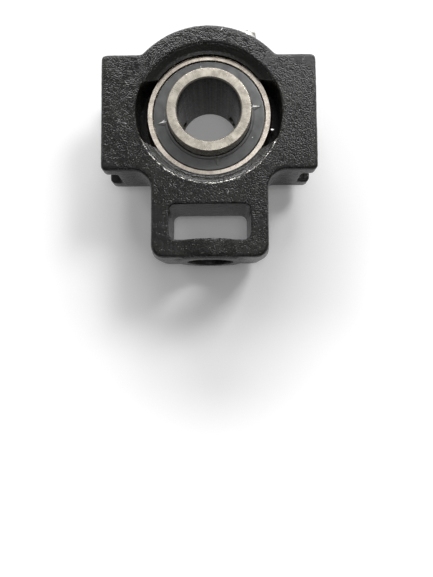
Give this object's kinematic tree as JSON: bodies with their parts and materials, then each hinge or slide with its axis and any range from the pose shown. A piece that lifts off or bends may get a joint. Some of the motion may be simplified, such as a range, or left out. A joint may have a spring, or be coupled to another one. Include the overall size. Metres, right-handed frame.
{
  "type": "take up bearing unit",
  "caption": "Take-up bearing unit: cast housing with guide grooves and a slotted tail for an adjusting screw, carrying a sealed self-aligning ball bearing insert.",
  "frame": {"origin": "under the middle of the unit's bounding box, in the plane of the inner ring's long end", "axes": "+Z along the bore, towards the inner ring's short side; -Y along the tail, towards the adjusting screw; +X across the guide grooves"},
  "size_m": [0.102, 0.1184, 0.0407],
  "materials": {
    "black_paint": "black paint on rough casting",
    "ground_steel": "ground bearing steel, warm",
    "slinger_steel": "blued pressed sheet",
    "ball_steel": "polished",
    "cage_steel": "pressed sheet",
    "seal_rubber": "matte",
    "black_oxide": "black oxide",
    "zinc_plate": "bright zinc plate",
    "spring_steel": "drawn wire"
  },
  "bodies": {
    "housing": {"housing": "black_paint", "grease_nipple": "zinc_plate", "nipple_spring": "spring_steel"},
    "outer_race": {"outer_ring": "ground_steel", "locating_pin": "ball_steel", "seal_front": "seal_rubber", "seal_rear": "seal_rubber"},
    "shaft_sleeve": {"inner_ring": "ground_steel", "set_screw_1": "black_oxide", "set_screw_2": "black_oxide", "slinger_front": "slinger_steel", "slinger_rear": "slinger_steel"},
    "cage": {"cage_front": "cage_steel", "cage_rear": "cage_steel", "cage_rivet_1": "cage_steel", "cage_rivet_2": "cage_steel", "cage_rivet_3": "cage_steel", "cage_rivet_4": "cage_steel", "cage_rivet_5": "cage_steel", "cage_rivet_6": "cage_steel", "cage_rivet_7": "cage_steel", "cage_rivet_8": "cage_steel", "cage_rivet_9": "cage_steel"},
    "rolling_ball_1": {"ball_1": "ball_steel"},
    "rolling_ball_2": {"ball_2": "ball_steel"},
    "rolling_ball_3": {"ball_3": "ball_steel"},
    "rolling_ball_4": {"ball_4": "ball_steel"},
    "rolling_ball_5": {"ball_5": "ball_steel"},
    "rolling_ball_6": {"ball_6": "ball_steel"},
    "rolling_ball_7": {"ball_7": "ball_steel"},
    "rolling_ball_8": {"ball_8": "ball_steel"},
    "rolling_ball_9": {"ball_9": "ball_steel"},
    "nipple_valve": {"nipple_ball": "ball_steel"}
  },
  "joints": [
    {"name": "alignment", "type": "hinge", "parent": "housing", "child": "outer_race", "pos_m": [0, 0.01078, 0.0222], "axis": [1, 0, 0], "range_deg": [-2, 2]},
    {"name": "shaft_spin", "type": "hinge", "parent": "outer_race", "child": "shaft_sleeve", "pos_m": [0, 0.01078, 0.0222], "axis": [0, 0, 1], "continuous": true},
    {"name": "cage_orbit", "type": "hinge", "parent": "outer_race", "child": "cage", "pos_m": [0, 0.01078, 0.0222], "axis": [0, 0, 1], "continuous": true},
    {"name": "ball_spin_1", "type": "hinge", "parent": "cage", "child": "rolling_ball_1", "pos_m": [0.023, 0.01078, 0.0222], "axis": [0, 0, 1], "continuous": true},
    {"name": "ball_spin_2", "type": "hinge", "parent": "cage", "child": "rolling_ball_2", "pos_m": [0.01762, 0.02557, 0.0222], "axis": [0, 0, 1], "continuous": true},
    {"name": "ball_spin_3", "type": "hinge", "parent": "cage", "child": "rolling_ball_3", "pos_m": [0.00399, 0.03343, 0.0222], "axis": [0, 0, 1], "continuous": true},
    {"name": "ball_spin_4", "type": "hinge", "parent": "cage", "child": "rolling_ball_4", "pos_m": [-0.0115, 0.0307, 0.0222], "axis": [0, 0, 1], "continuous": true},
    {"name": "ball_spin_5", "type": "hinge", "parent": "cage", "child": "rolling_ball_5", "pos_m": [-0.02161, 0.01865, 0.0222], "axis": [0, 0, 1], "continuous": true},
    {"name": "ball_spin_6", "type": "hinge", "parent": "cage", "child": "rolling_ball_6", "pos_m": [-0.02161, 0.00292, 0.0222], "axis": [0, 0, 1], "continuous": true},
    {"name": "ball_spin_7", "type": "hinge", "parent": "cage", "child": "rolling_ball_7", "pos_m": [-0.0115, -0.00914, 0.0222], "axis": [0, 0, 1], "continuous": true},
    {"name": "ball_spin_8", "type": "hinge", "parent": "cage", "child": "rolling_ball_8", "pos_m": [0.00399, -0.01187, 0.0222], "axis": [0, 0, 1], "continuous": true},
    {"name": "ball_spin_9", "type": "hinge", "parent": "cage", "child": "rolling_ball_9", "pos_m": [0.01762, -0.004, 0.0222], "axis": [0, 0, 1], "continuous": true},
    {"name": "nipple_ball_press", "type": "slide", "parent": "housing", "child": "nipple_valve", "axis": [-0.4147, -0.91, 0], "range_m": [0, 0.0008], "stiffness_N_per_m": 600, "springref_m": -0.0015}
  ],
  "couplings": [
    {"joint": "cage_orbit", "follows": "shaft_spin", "ratio": 0.39647},
    {"joint": "ball_spin_1", "follows": "shaft_spin", "ratio": -2.3112},
    {"joint": "ball_spin_2", "follows": "shaft_spin", "ratio": -2.3112},
    {"joint": "ball_spin_3", "follows": "shaft_spin", "ratio": -2.3112},
    {"joint": "ball_spin_4", "follows": "shaft_spin", "ratio": -2.3112},
    {"joint": "ball_spin_5", "follows": "shaft_spin", "ratio": -2.3112},
    {"joint": "ball_spin_6", "follows": "shaft_spin", "ratio": -2.3112},
    {"joint": "ball_spin_7", "follows": "shaft_spin", "ratio": -2.3112},
    {"joint": "ball_spin_8", "follows": "shaft_spin", "ratio": -2.3112},
    {"joint": "ball_spin_9", "follows": "shaft_spin", "ratio": -2.3112}
  ]
}
